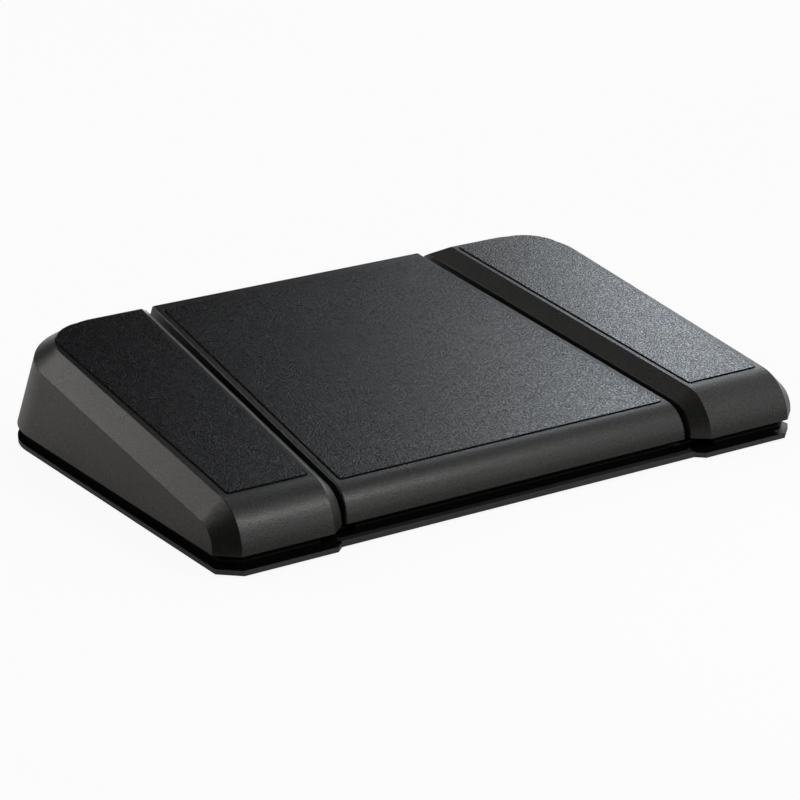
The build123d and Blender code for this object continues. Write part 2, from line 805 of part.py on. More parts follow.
def return_spring(x):
    """Coil spring from the ballast plate up to the pedal's boss."""
    low = plate_top_z + spring_wire_radius + spring_end_clearance
    high = spring_seat_z - spring_wire_radius - spring_end_clearance
    quarter_turns = spring_turns * 4
    def at(step):
        angle = step * pi / 2
        z = low + (high - low) * step / quarter_turns
        return (x + spring_mean_radius * cos(angle), spring_y + spring_mean_radius * sin(angle), z)
    arcs = [ThreePointArc(at(step), at(step + 1 / 2), at(step + 1)) for step in range(quarter_turns)]
    path = Wire(arcs)
    section = Plane(origin=path @ 0, z_dir=path % 0) * Circle(spring_wire_radius)
    pitch = (high - low) / spring_turns
    print("spring at x", x, "least gap between turns", round(pitch - 2 * spring_wire_radius, 2))
    return sweep(section, path=path)


def bump_stop(x):
    """Rubber button that the pressed pedal lands on."""
    return upright(x, stop_y, stop_radius, (plate_top_z, plate_top_z + stop_height))


def rubber_feet():
    """All feet under the tray."""
    feet = [foot_block(x, y, 0, (0, foot_stand + foot_recess)) for x, y in foot_places]
    return Compound(children=feet)


# Screws

def cross_recess(x, y, top):
    """Cross-shaped drive in a screw head."""
    width, length, depth = drive_slot
    first = box((x - length / 2, x + length / 2), (y - width / 2, y + width / 2), (top - depth, top + overrun))
    second = box((x - width / 2, x + width / 2), (y - length / 2, y + length / 2), (top - depth, top + overrun))
    return first + second


def pan_screw(x, y, seat, shank_radius, head_radius):
    """Screw with a round flat head, driven from above."""
    screw = upright(x, y, shank_radius, (screw_tip_z, seat))
    screw += upright(x, y, head_radius, (seat, seat + head_height))
    return screw - cross_recess(x, y, seat + head_height)


def plate_screw_form(x, y):
    """Countersunk screw driven from below, without its drive."""
    head = Pos(x, y, tray_z + plate_screw_head_height / 2)
    head *= Cone(m3_head_radius, m3_radius, plate_screw_head_height)
    return head + upright(x, y, m3_radius, (tray_z, plate_top_z))


def plate_screws():
    """Screws that hold the ballast plate to the tray."""
    screws = []
    for x, y in plate_screw_places:
        width, length, depth = drive_slot
        z = (tray_z - overrun, tray_z + depth)
        slot = box((x - length / 2, x + length / 2), (y - width / 2, y + width / 2), z)
        slot += box((x - width / 2, x + width / 2), (y - length / 2, y + length / 2), z)
        screws.append(plate_screw_form(x, y) - slot)
    return Compound(children=screws)


def bracket_screws():
    """Screws that hold the hinge brackets down."""
    seat = plate_top_z + bracket_base_sheet
    return Compound(children=[pan_screw(x, y, seat, m3_radius, m3_head_radius) for x, y in bracket_screw_places()])


def board_screws():
    """Screws that hold the circuit board."""
    screws = [pan_screw(x, y, board_top_z, m25_radius, m25_head_radius) for x, y in board_screw_places]
    return Compound(children=screws)


# Circuit board and what is on it

def terminal_places(x):
    """The three pins of a switch."""
    return [(x, switch_y + step * terminal_pitch) for step in (-1, 0, 1)]


def main_board():
    """One board across the tray, with a tongue to the socket."""
    board = box((-board_half_width, board_half_width), board_y, (board_z, board_top_z))
    board += box((-tongue_half_width, tongue_half_width), (board_y[1], tongue_end_y), (board_z, board_top_z))
    for x, y in board_screw_places:
        board -= upright(x, y, m25_radius, (board_z - overrun, board_top_z + overrun))
    half_x, half_y = terminal_size[0] / 2, terminal_size[1] / 2
    for place in (-side_mechanism_x, 0, side_mechanism_x):
        for x, y in terminal_places(place):
            board -= box((x - half_x, x + half_x), (y - half_y, y + half_y), (board_z, board_top_z))
    return board


def controller_chip():
    """The controller in its square package."""
    x, y = chip_place
    half = chip_size / 2
    return box((x - half, x + half), (y - half, y + half), (board_top_z, board_top_z + chip_height))


def board_components():
    """Crystal and small resistors and capacitors."""
    x, y = crystal_place
    length, width, height = crystal_size
    parts = [box((x - length / 2, x + length / 2), (y - width / 2, y + width / 2),
                 (board_top_z, board_top_z + height))]
    length, width, height = small_part
    start_x = chip_place[0] + chip_size
    start_y = chip_place[1] - small_part_pitch
    for column in range(small_part_count[0]):
        for row in range(small_part_count[1]):
            px = start_x + column * small_part_pitch
            py = start_y + row * small_part_pitch
            parts.append(box((px, px + length), (py, py + width), (board_top_z, board_top_z + height)))
    return Compound(children=parts)


def socket_shell():
    """Steel shell of the socket, closed at its inner end."""
    mouth = housing_web_y[1]
    outside = socket_bar(0, (mouth - shell_length, mouth))
    return outside - socket_bar(-shell_wall, (mouth - shell_length + shell_wall, mouth + overrun))


def socket_tongue():
    """Contact tongue inside the socket."""
    width, length, height = tongue_size
    start = housing_web_y[1] - shell_length + shell_wall
    axis_z = board_top_z + shell_height / 2
    return box((-width / 2, width / 2), (start, start + length), (axis_z - height / 2, axis_z + height / 2))


# Snap-action switches

pivot_y = switch_y + lever_pivot_offset
body_top_z = board_top_z + switch_body[2]
pivot_z = body_top_z + pivot_lift


def switch_case(x):
    """Case of a snap-action switch with its pins, pivot cheeks and plunger well."""
    width, length, height = switch_body
    case = box((x - width / 2, x + width / 2), (switch_y - length / 2, switch_y + length / 2),
               (board_top_z, body_top_z))
    inner = lever_width / 2 + cheek_gap
    for side in (-1, 1):
        span = sorted((x + side * inner, x + side * (inner + cheek_thickness)))
        case += box(span, (pivot_y - cheek_length / 2, pivot_y + cheek_length / 2),
                    (body_top_z - overrun, body_top_z + cheek_height))
    bore = trunnion_radius + pin_running_clearance
    case -= crossbar((x - width, x + width), pivot_y, pivot_z, bore)
    half_x = plunger_size[0] / 2 + plunger_clearance
    half_y = plunger_size[1] / 2 + plunger_clearance
    y = pivot_y - plunger_arm
    case -= box((x - half_x, x + half_x), (y - half_y, y + half_y),
                (body_top_z - plunger_depth, body_top_z + overrun))
    half_x, half_y = terminal_size[0] / 2, terminal_size[1] / 2
    for px, py in terminal_places(x):
        case += box((px - half_x, px + half_x), (py - half_y, py + half_y), (board_z, board_top_z + overrun))
    return case


def switch_lever(x):
    """Sprung steel lever on its pivot barrel."""
    half = lever_width / 2
    lever = crossbar((x - half, x + half), pivot_y, pivot_z, barrel_radius)
    lever += crossbar((x - half - trunnion_length, x + half + trunnion_length), pivot_y, pivot_z, trunnion_radius)
    strip = box((x - half, x + half), (-lever_length, 0), (0, lever_sheet))
    tilt = Pos(0, pivot_y, pivot_z) * Rot(-lever_angle * 180 / pi, 0, 0)
    return lever + tilt * strip


def switch_plunger(x):
    """Plunger that the lever presses into the case."""
    half_x, half_y = plunger_size[0] / 2, plunger_size[1] / 2
    y = pivot_y - plunger_arm
    under_lever = pivot_z + (plunger_arm - half_y) * tan(lever_angle)
    top = under_lever - lever_gap
    low = body_top_z - plunger_depth + overrun
    return box((x - half_x, x + half_x), (y - half_y, y + half_y), (low, top))


# All pieces, each under the name of its node

left_shell = left_pedal_shell()
left_pad = pad_solid(side_pad_face(), side_top_height)
left_bracket = side_bracket()
center_left_bracket = center_bracket()

pieces = {
    "base_tray": base_tray(),
    "ballast_plate": ballast_plate(),
    "rubber_feet": rubber_feet(),
    "plate_screws": plate_screws(),
    "bracket_screws": bracket_screws(),
    "board_screws": board_screws(),
    "hinge_pin_clips": pin_clips(),
    "left_hinge_bracket": left_bracket,
    "right_hinge_bracket": mirrored(left_bracket),
    "center_hinge_bracket_left": center_left_bracket,
    "center_hinge_bracket_right": mirrored(center_left_bracket),
    "left_hinge_pin": hinge_pin(-side_hinge_x, side_ear_x),
    "center_hinge_pin": hinge_pin(0, center_ear_x),
    "right_hinge_pin": hinge_pin(side_hinge_x, side_ear_x),
    "main_circuit_board": main_board(),
    "controller_chip": controller_chip(),
    "board_components": board_components(),
    "usb_socket_shell": socket_shell(),
    "usb_socket_tongue": socket_tongue(),
    "left_pedal": left_shell,
    "center_pedal": center_pedal_shell(),
    "right_pedal": mirrored(left_shell),
    "left_tread_pad": left_pad,
    "center_tread_pad": pad_solid(center_pad_face(), center_top_height),
    "right_tread_pad": mirrored(left_pad),
    "left_bump_stop": bump_stop(-side_mechanism_x),
    "center_bump_stops": Compound(children=[bump_stop(-center_stop_x), bump_stop(center_stop_x)]),
    "right_bump_stop": bump_stop(side_mechanism_x),
}
for side, place in (("left", -side_mechanism_x), ("center", 0), ("right", side_mechanism_x)):
    pieces[side + "_return_spring"] = return_spring(place)
    pieces[side + "_switch_case"] = switch_case(place)
    pieces[side + "_switch_lever"] = switch_lever(place)
    pieces[side + "_switch_plunger"] = switch_plunger(place)

for name, shape in pieces.items():
    export_step(shape, "parts/" + name + ".step")
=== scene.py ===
import json
import math

import bpy
import numpy as np
from bpy.props import FloatProperty, FloatVectorProperty, IntProperty, PointerProperty
from mathutils import Matrix, Vector


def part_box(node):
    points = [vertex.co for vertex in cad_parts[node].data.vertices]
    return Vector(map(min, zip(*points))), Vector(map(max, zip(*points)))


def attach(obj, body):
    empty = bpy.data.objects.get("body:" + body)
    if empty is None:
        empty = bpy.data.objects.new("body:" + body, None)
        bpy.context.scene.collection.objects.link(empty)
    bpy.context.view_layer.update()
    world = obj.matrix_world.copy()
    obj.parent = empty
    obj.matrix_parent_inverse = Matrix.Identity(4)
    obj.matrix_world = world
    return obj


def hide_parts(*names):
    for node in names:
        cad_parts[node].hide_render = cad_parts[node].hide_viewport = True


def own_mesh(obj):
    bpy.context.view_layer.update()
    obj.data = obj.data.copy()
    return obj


bl_info = {
    "name": "Foot switch finishes",
    "version": (1, 0, 0),
    "blender": (4, 5, 0),
    "location": "View3D > Sidebar > Foot switch",
    "description": "Dresses the CAD foot switch in its plastics, rubber and steel, and sets up its stage",
    "category": "Object",
}

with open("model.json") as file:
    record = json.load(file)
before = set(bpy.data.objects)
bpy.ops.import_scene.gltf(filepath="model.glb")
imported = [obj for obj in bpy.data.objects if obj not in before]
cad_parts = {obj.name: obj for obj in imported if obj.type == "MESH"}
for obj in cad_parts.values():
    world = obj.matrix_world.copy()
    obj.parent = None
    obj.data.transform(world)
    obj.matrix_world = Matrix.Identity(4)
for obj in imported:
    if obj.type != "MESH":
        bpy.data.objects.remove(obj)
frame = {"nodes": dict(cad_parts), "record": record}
nodes = frame["nodes"]

SIDES = ("left", "center", "right")

# Spans of a noise's values that are stretched to a whole pattern: a narrower span gives more contrast
SOFT_SPAN = (0.2, 0.8)
EVEN_SPAN = (0.3, 0.7)
FIRM_SPAN = (0.35, 0.65)

# Bands of the tray in metres, each from where it begins to where it is full. The rim's top and all that stands
# on it are painted near black as shade under the pedals, but less so where it lies open: before the center
# pedal and along the right side.
LIP_BLEND = 0.0002
RIM_FRONT_Y = (-0.0869, -0.0872)
RIM_FRONT_X = (0.0752, 0.0740)
RIM_RIGHT_X = (0.1110, 0.1114)
RIM_OPEN_Z = (0.0037, 0.0034)

# A faint painted highlight line on the top of the tray's ledge, where the painted shade is lightened. It begins,
# is full and ends at these heights
LEDGE_HIGHLIGHT_Z = (0.0048, 0.0051, 0.0053)
LEDGE_HIGHLIGHT_SHARE = 0.35

# Floor and cards in metres, with azimuths in degrees from the back towards the right
FLOOR_REACH = 4.0
FLOOR_WHITE_SHARE = 0.92
CARD_TOP_Z = 3.0
UPRIGHT_CARDS = {  # first and last azimuth, distance, height of the lower edge
    "card_back": (-60.0, 16.0, 2.6, 0.0),
    "card_edge": (16.0, 38.0, 2.6, 0.15),
    "card_front": (188.0, 284.0, 2.2, 0.0),
}
TOP_CARD_REACH, TOP_CARD_Z = 1.6, 2.2
LOW_CARD_REACH, LOW_CARD_CORNER, LOW_CARD_Z = 0.9, -0.02, 0.0004
BLACK_CARD_GREY = 0.003

# The low card is black where X and Y are both below the first pair, and grey past the widths of the second
LOW_CARD_GREY = 0.61
LOW_CARD_BLACK = (-0.14, -0.10)
LOW_CARD_FADE = (0.02, 0.06)

# Soft boxes
WHITE, WARM, COOL = (1.0, 1.0, 1.0), (1.0, 0.975, 0.95), (0.80, 0.90, 1.0)
FAR, NEAR = 1.3, 0.5
SOFT_BOXES = {  # azimuth, elevation, width and height in degrees, radiance, colour, distance in metres
    "left_box": (325.0, 25.0, 20.0, 15.0, 4.2, WARM, FAR),
    "far_left_box": (312.0, 46.0, 36.0, 22.0, 0.45, WARM, FAR),
    "front_box": (164.0, 43.0, 17.0, 13.0, 10.0, WARM, NEAR),
    "high_box": (135.0, 60.0, 20.0, 15.0, 1.9, WHITE, FAR),
    "top_box": (110.0, 75.0, 40.0, 15.0, 1.1, WHITE, FAR),
    "back_box": (49.0, 36.0, 9.0, 18.0, 3.2, COOL, FAR),
    "low_back_box": (46.0, 24.0, 8.0, 12.0, 2.2, COOL, FAR),
    "right_box": (62.0, 8.0, 14.0, 12.0, 2.0, COOL, FAR),
}
LIT_POINT = (0.0, 0.0, 0.02)

# Camera: its place in metres, the directions of its own X, Y and Z, its lens and sensor in millimetres
CAMERA_PLACE = (-0.524241, -0.87202, 0.362301)
CAMERA_AXES = ((0.84936, -0.52703, -0.02888), (0.19447, 0.2616, 0.94538), (-0.49069, -0.80858, 0.32469))
CAMERA_LENS = 129.10
CAMERA_SENSOR = 36.0
CAMERA_CLIP = (0.05, 30.0)


# Sizes and colours a user would change

class PlasticLooks(bpy.types.PropertyGroup):
    """Colours and grain of the moulded plastic pieces."""
    shell_color: FloatVectorProperty(
        name="Pedal shell", description="Satin plastic of the three pedals",
        subtype="COLOR", size=3, min=0.0, max=1.0, default=(0.0100, 0.0095, 0.0088))
    pad_color: FloatVectorProperty(
        name="Tread pad", description="Grained inlay on top of each pedal",
        subtype="COLOR", size=3, min=0.0, max=1.0, default=(0.0036, 0.0035, 0.0044))
    tray_color: FloatVectorProperty(
        name="Base tray", description="Matt plastic of the base tray",
        subtype="COLOR", size=3, min=0.0, max=1.0, default=(0.0260, 0.0252, 0.0244))
    # Above the lip's height the tray is painted near black, as shade under the pedals
    lip_height: FloatProperty(
        name="Lip height", description="Height of the base's lip, above which its recess is dull",
        subtype="DISTANCE", unit="LENGTH", min=0.0, max=0.01, precision=5, default=0.00285)
    shell_grain: FloatProperty(
        name="Shell grain", description="Width of one pit of the spark-eroded mould texture",
        subtype="DISTANCE", unit="LENGTH", min=0.0001, max=0.003, precision=5, default=0.00055)
    shell_grain_depth: FloatProperty(
        name="Shell grain depth", description="Depth of the mould texture on the pedal shells",
        subtype="DISTANCE", unit="LENGTH", min=0.0, max=0.0005, precision=6, default=0.00006)
    pad_grain: FloatProperty(
        name="Pad grain", description="Width of one pebble of the pads' leather grain",
        subtype="DISTANCE", unit="LENGTH", min=0.0003, max=0.006, precision=5, default=0.00063)
    pad_grain_depth: FloatProperty(
        name="Pad grain depth", description="Depth of the pads' leather grain",
        subtype="DISTANCE", unit="LENGTH", min=0.0, max=0.001, precision=6, default=0.00010)
    edge_radius: FloatProperty(
        name="Edge radius", description="How softly the moulded edges turn",
        subtype="DISTANCE", unit="LENGTH", min=0.0, max=0.003, precision=5, default=0.0005)


class PartLooks(bpy.types.PropertyGroup):
    """Colours of the rubber, steel and electronic parts, and the wire of the springs."""
    rubber_color: FloatVectorProperty(
        name="Rubber", description="Feet and bump stops",
        subtype="COLOR", size=3, min=0.0, max=1.0, default=(0.012, 0.012, 0.012))
    zinc_color: FloatVectorProperty(
        name="Black zinc", description="Ballast plate and hinge brackets",
        subtype="COLOR", size=3, min=0.0, max=1.0, default=(0.060, 0.061, 0.065))
    steel_color: FloatVectorProperty(
        name="Bright steel", description="Hinge pins, clips, springs and switch levers",
        subtype="COLOR", size=3, min=0.0, max=1.0, default=(0.50, 0.49, 0.47))
    screw_color: FloatVectorProperty(
        name="Screws", description="Blackened screws",
        subtype="COLOR", size=3, min=0.0, max=1.0, default=(0.075, 0.075, 0.08))
    spring_wire: FloatProperty(
        name="Spring wire", description="Diameter of the return springs' wire",
        subtype="DISTANCE", unit="LENGTH", min=0.0003, max=0.002, precision=5, default=0.0009)
    spring_turns: IntProperty(
        name="Spring turns", description="Turns of each return spring", min=3, max=12, default=6)
    board_color: FloatVectorProperty(
        name="Circuit board", description="Solder mask of the circuit board",
        subtype="COLOR", size=3, min=0.0, max=1.0, default=(0.010, 0.060, 0.028))
    contact_color: FloatVectorProperty(
        name="Contacts", description="Gold on the socket's contacts",
        subtype="COLOR", size=3, min=0.0, max=1.0, default=(0.83, 0.56, 0.20))


class StageLooks(bpy.types.PropertyGroup):
    """The floor and the even light of the room."""
    floor_color: FloatVectorProperty(
        name="Floor", description="Plain pale floor",
        subtype="COLOR", size=3, min=0.0, max=1.0, default=(0.90, 0.90, 0.90))
    room_level: FloatProperty(
        name="Room light", description="Strength of the even light from all round",
        min=0.0, max=2.0, default=0.5)


# Materials

class Wire:
    """A socket of a material's nodes. Sums and products of wires and numbers add the Math nodes for them."""

    def __init__(self, finish, socket):
        self.finish = finish
        self.socket = socket

    def __add__(self, other):
        return self.finish.math("ADD", self, other)

    def __radd__(self, other):
        return self.finish.math("ADD", other, self)

    def __sub__(self, other):
        return self.finish.math("SUBTRACT", self, other)

    def __rsub__(self, other):
        return self.finish.math("SUBTRACT", other, self)

    def __mul__(self, other):
        return self.finish.math("MULTIPLY", self, other)

    def __rmul__(self, other):
        return self.finish.math("MULTIPLY", other, self)


class Finish:
    """A procedural material, built up from wires."""

    def __init__(self, name):
        self.material = bpy.data.materials.new(name)
        self.material.use_nodes = True
        self.tree = self.material.node_tree
        self.tree.nodes.clear()
        self.place = self.node("ShaderNodeTexCoord", output="Object")

    def node(self, kind, settings=None, inputs=None, output=0):
        """Adds a node, sets its settings, fills its sockets with values or wires, and returns one output."""
        made = self.tree.nodes.new(kind)
        for name, value in (settings or {}).items():
            setattr(made, name, value)
        for name, value in (inputs or {}).items():
            if isinstance(value, Wire):
                self.tree.links.new(value.socket, made.inputs[name])
            else:
                made.inputs[name].default_value = value
        return Wire(self, made.outputs[output]) if len(made.outputs) else None

    def math(self, operation, first, second):
        """A Math node on two values."""
        return self.node("ShaderNodeMath", {"operation": operation}, {0: first, 1: second})

    def axis(self, name):
        """One of the Object coordinates, X, Y or Z, in metres."""
        return self.node("ShaderNodeSeparateXYZ", None, {"Vector": self.place}, output=name)

    def spread(self, wire, span, to=(0.0, 1.0)):
        """A value carried from one span to another, held at its ends."""
        return self.node("ShaderNodeMapRange", {"clamp": True},
                         {"Value": wire, "From Min": span[0], "From Max": span[1],
                          "To Min": to[0], "To Max": to[1]})

    def band(self, wire, edges):
        """1 past the second of two edges and 0 before the first. The edges may rise or fall."""
        if edges[0] < edges[1]:
            return self.spread(wire, edges)
        return self.spread(wire, edges[::-1], (1.0, 0.0))

    def noise(self, size, detail=2.0, roughness=0.5, place=None):
        """Cloudy pattern whose patches are about size wide."""
        return self.node("ShaderNodeTexNoise", {"noise_dimensions": "3D"},
                         {"Vector": place or self.place, "Scale": 1.0 / size, "Detail": detail,
                          "Roughness": roughness})

    def along_x(self, stretch):
        """Object coordinates in which a pattern is drawn out along X."""
        return self.node("ShaderNodeMapping", None, {"Vector": self.place, "Scale": (1.0, stretch, stretch)})

    def nudged(self, size, amount):
        """Object coordinates shifted a little by a cloudy pattern, so that cells wander."""
        shift = self.node("ShaderNodeTexNoise", {"noise_dimensions": "3D"},
                          {"Vector": self.place, "Scale": 1.0 / size, "Detail": 1.0}, output="Color")
        middle = self.node("ShaderNodeVectorMath", {"operation": "SUBTRACT"}, {0: shift, 1: (0.5, 0.5, 0.5)})
        scaled = self.node("ShaderNodeVectorMath", {"operation": "SCALE"}, {0: middle, "Scale": amount})
        return self.node("ShaderNodeVectorMath", {"operation": "ADD"}, {0: self.place, 1: scaled})

    def mix(self, mask, first, second):
        """The first colour where the mask is 0 and the second where it is 1."""
        return self.node("ShaderNodeMix", {"data_type": "RGBA"}, {0: mask, 6: first, 7: second}, output=2)

    def tint(self, mask, color, tones):
        """One colour times the first tone where the mask is 0 and times the second where it is 1."""
        low, high = (shade(color, tone) for tone in tones)
        return self.mix(mask, (*low, 1.0), (*high, 1.0))

    def soft_edges(self, radius):
        """Normal that turns softly over edges, as moulded and stamped edges do."""
        return self.node("ShaderNodeBevel", {"samples": 6}, {"Radius": radius})

    def edges(self, radius):
        """1 along edges, where the softened normal leaves the face's own, and 0 on the faces between them."""
        turned, straight = 0.93, 0.995
        own = self.node("ShaderNodeNewGeometry", output="Normal")
        agree = self.node("ShaderNodeVectorMath", {"operation": "DOT_PRODUCT"},
                          {0: own, 1: self.soft_edges(radius)}, output="Value")
        return self.spread(agree, (turned, straight), (1.0, 0.0))

    def relief(self, height, depth, normal):
        """Normal of a relief over another normal: height goes from 0 to 1, depth is in metres."""
        return self.node("ShaderNodeBump", None,
                         {"Height": height, "Distance": depth, "Strength": 1.0, "Normal": normal})

    def shader(self, **inputs):
        """A Principled shader. An input's name is its socket's, in small letters and with underscores."""
        sockets = {name.replace("_", " ").title().replace("Ior", "IOR"): value
                   for name, value in inputs.items()}
        return self.node("ShaderNodeBsdfPrincipled", None, sockets)

    def end(self, shader):
        """Ends the material in a shader and returns the material."""
        self.node("ShaderNodeOutputMaterial", None, {"Surface": shader})
        return self.material

    def surface(self, **inputs):
        """Ends the material in one Principled shader and returns the material."""
        return self.end(self.shader(**inputs))


def shade(color, factor):
    """A colour made lighter or darker by a factor."""
    return tuple(min(1.0, c * factor) for c in color)


def shell_plastic(looks):
    """Satin charcoal plastic: fine spark-eroded mould texture, faint cloudy gloss, smoother along the edges."""
    cloud_size = 0.028
    mottle_span, mottle_tones = (0.38, 0.62), (0.80, 1.22)
    roughness, edge_polish = (0.27, 0.32), 0.55
    gloss_span, gloss = (0.36, 0.64), (0.0, 0.5)
    finish = Finish("satin_shell_plastic")
    pits = finish.noise(looks.shell_grain, detail=3.0, roughness=0.62)
    clouds = finish.noise(cloud_size, detail=3.0)
    mottle = finish.spread(0.65 * pits + 0.35 * clouds, mottle_span)
    color = finish.tint(mottle, looks.shell_color, mottle_tones)
    worn = finish.edges(looks.edge_radius)
    rough = finish.spread(clouds, EVEN_SPAN, roughness) * (1 - edge_polish * worn)
    normal = finish.relief(finish.spread(pits, EVEN_SPAN), looks.shell_grain_depth,
                           finish.soft_edges(looks.edge_radius))
    coat = finish.spread(pits, gloss_span, gloss) * (1 - worn)
    return finish.surface(base_color=color, roughness=rough, normal=normal, specular_ior_level=0.4,
                          coat_weight=coat, coat_roughness=0.30)


def pad_leather(looks):
    """Soft black inlay with a fine stippled leather grain whose tops are a little shinier than its hollows."""
    cloud_size = 0.022
    grain_span, grain_tones = (0.34, 0.66), (0.45, 1.6)
    rough_span, roughness = (0.25, 0.75), (0.33, 0.23)
    top_gloss = 0.9
    edge_share = 0.3
    finish = Finish("grained_pad_inlay")
    grain = finish.spread(finish.noise(looks.pad_grain, detail=1.0, roughness=0.6), grain_span)
    clouds = finish.noise(cloud_size)
    color = finish.tint(grain, looks.pad_color, grain_tones)
    rough = finish.spread(0.7 * grain + 0.3 * clouds, rough_span, roughness)
    normal = finish.relief(grain, looks.pad_grain_depth, finish.soft_edges(looks.edge_radius * edge_share))
    return finish.surface(base_color=color, roughness=rough, normal=normal, specular_ior_level=0.25,
                          coat_weight=top_gloss * grain, coat_roughness=0.26)


def tray_plastic(looks):
    """Black plastic of the base: textured on its lip and underside, painted near black as shade from the rim's top
    up, with a painted highlight line on the ledge's top.
    """
    cloud_size = 0.035
    grain_share, depth_share, edge_share = 1.4, 1.3, 0.4
    mottle_tones, roughness = (0.75, 1.3), (0.40, 0.48)
    painted_shade_color, painted_shade_tones = (0.001, 0.001, 0.001), (1.0, 2.0)
    finish = Finish("matt_tray_plastic")
    pits = finish.noise(looks.shell_grain * grain_share, detail=3.0, roughness=0.6)
    clouds = finish.noise(cloud_size)
    color = finish.tint(finish.spread(0.5 * pits + 0.5 * clouds, FIRM_SPAN), looks.tray_color, mottle_tones)
    rough = finish.spread(clouds, EVEN_SPAN, roughness)
    normal = finish.relief(pits, looks.shell_grain_depth * depth_share,
                           finish.soft_edges(looks.edge_radius * edge_share))
    lip = finish.shader(base_color=color, roughness=rough, normal=normal)
    # Painted shade: near-black, barely reflecting plastic that stands in for the shade in the recess under the
    # pedals
    recess_shade = finish.shader(base_color=finish.tint(pits, painted_shade_color, painted_shade_tones), roughness=0.9,
                           specular_ior_level=0.06)

    across, along, height = (finish.axis(name) for name in "XYZ")
    from_middle = finish.math("ABSOLUTE", across, 0.0)
    front = finish.band(along, RIM_FRONT_Y) * finish.band(from_middle, RIM_FRONT_X)
    right = finish.band(across, RIM_RIGHT_X)
    open_rim = finish.math("MAXIMUM", front, right) * finish.band(height, RIM_OPEN_Z)
    # Painted highlight: a faint line of light along the top of the ledge
    begins, full, ends = LEDGE_HIGHLIGHT_Z
    ledge_highlight = finish.band(height, (begins, full)) * finish.band(height, (ends, full))
    above = finish.band(height + LIP_BLEND * clouds, (looks.lip_height - LIP_BLEND, looks.lip_height))
    # Mask of the painted shade: on above the lip, off where the rim lies open, and lightened along the ledge for a
    # painted highlight
    mask = above * (1 - open_rim) * (1 - LEDGE_HIGHLIGHT_SHARE * ledge_highlight)
    return finish.end(finish.node("ShaderNodeMixShader", None, {0: mask, 1: lip, 2: recess_shade}))


def black_rubber(color):
    """Dull rubber with a dusty bloom and fine moulding specks."""
    speck_size, speck_depth = 0.0005, 0.00004
    bloom_size, bloom_span, bloom_tones = 0.009, (0.35, 0.7), (0.8, 1.9)
    roughness = (0.72, 0.88)
    edge_radius = 0.0005
    finish = Finish("black_rubber")
    specks = finish.noise(speck_size, roughness=0.7)
    bloom = finish.noise(bloom_size, detail=4.0, roughness=0.6)
    tone = finish.tint(finish.spread(bloom, bloom_span), color, bloom_tones)
    rough = finish.spread(bloom, EVEN_SPAN, roughness)
    normal = finish.relief(specks, speck_depth, finish.soft_edges(edge_radius))
    return finish.surface(base_color=tone, roughness=rough, normal=normal, specular_ior_level=0.35)


def zinc_plate(color):
    """Black-passivated zinc on sheet steel: soft spangles, fine rolling lines along X and a hazy gloss."""
    line_size, line_stretch, line_depth = 0.006, 24.0, 0.000008
    spangles_per_metre, wander_size, wander = 260.0, 0.004, 0.002
    tones, roughness = (0.82, 1.12), (0.30, 0.46)
    edge_radius = 0.0003
    finish = Finish("zinc_plated_sheet")
    lines = finish.noise(line_size, detail=3.0, roughness=0.7, place=finish.along_x(line_stretch))
    spangles = finish.node("ShaderNodeTexVoronoi", {"feature": "F1"},
                           {"Vector": finish.nudged(wander_size, wander), "Scale": spangles_per_metre},
                           output="Color")
    patch = finish.node("ShaderNodeSeparateColor", None, {"Color": spangles})
    mask = 0.55 * patch + 0.45 * lines
    tone = finish.tint(finish.spread(mask, SOFT_SPAN), color, tones)
    rough = finish.spread(mask, SOFT_SPAN, roughness)
    normal = finish.relief(lines, line_depth, finish.soft_edges(edge_radius))
    return finish.surface(base_color=tone, roughness=rough, metallic=1.0, normal=normal)


def drawn_steel(name, color, roughness, streak_size):
    """Bare steel with the faint streaks along X that drawing or stamping leaves."""
    streak_stretch, streak_depth = 12.0, 0.000006
    haze_size = 0.005
    tones = (0.80, 1.12)
    edge_radius = 0.00015
    finish = Finish(name)
    streaks = finish.noise(streak_size, detail=3.0, roughness=0.65, place=finish.along_x(streak_stretch))
    haze = finish.noise(haze_size, detail=3.0)
    tone = finish.tint(finish.spread(0.6 * streaks + 0.4 * haze, EVEN_SPAN), color, tones)
    rough = finish.spread(streaks, EVEN_SPAN, roughness)
    normal = finish.relief(streaks, streak_depth, finish.soft_edges(edge_radius))
    return finish.surface(base_color=tone, roughness=rough, metallic=1.0, normal=normal)


def solder_mask(color):
    """Circuit board: glossy solder mask over faint copper tracks, with the glass weave under it."""
    tracks_per_metre, weave_per_metre = 120.0, 900.0
    tones, roughness = (0.75, 1.7), (0.26, 0.34)
    relief_depth, edge_radius = 0.00001, 0.0001
    white, black = (1.0, 1.0, 1.0, 1.0), (0.0, 0.0, 0.0, 1.0)
    finish = Finish("circuit_board_mask")
    tracks = finish.node("ShaderNodeTexBrick", {"offset": 0.5, "squash": 1.0},
                         {"Vector": finish.place, "Scale": tracks_per_metre, "Mortar Size": 0.012,
                          "Mortar Smooth": 0.25, "Brick Width": 1.4, "Row Height": 0.22, "Color1": white,
                          "Color2": white, "Mortar": black}, output="Fac")
    weave = finish.node("ShaderNodeTexWave", {"wave_type": "BANDS", "bands_direction": "X"},
                        {"Vector": finish.place, "Scale": weave_per_metre, "Distortion": 0.6}, output="Fac")
    mask = 0.7 * tracks + 0.3 * weave
    tone = finish.tint(mask, color, tones)
    rough = finish.spread(weave, (0.0, 1.0), roughness)
    normal = finish.relief(mask, relief_depth, finish.soft_edges(edge_radius))
    return finish.surface(base_color=tone, roughness=rough, normal=normal, coat_weight=0.25)


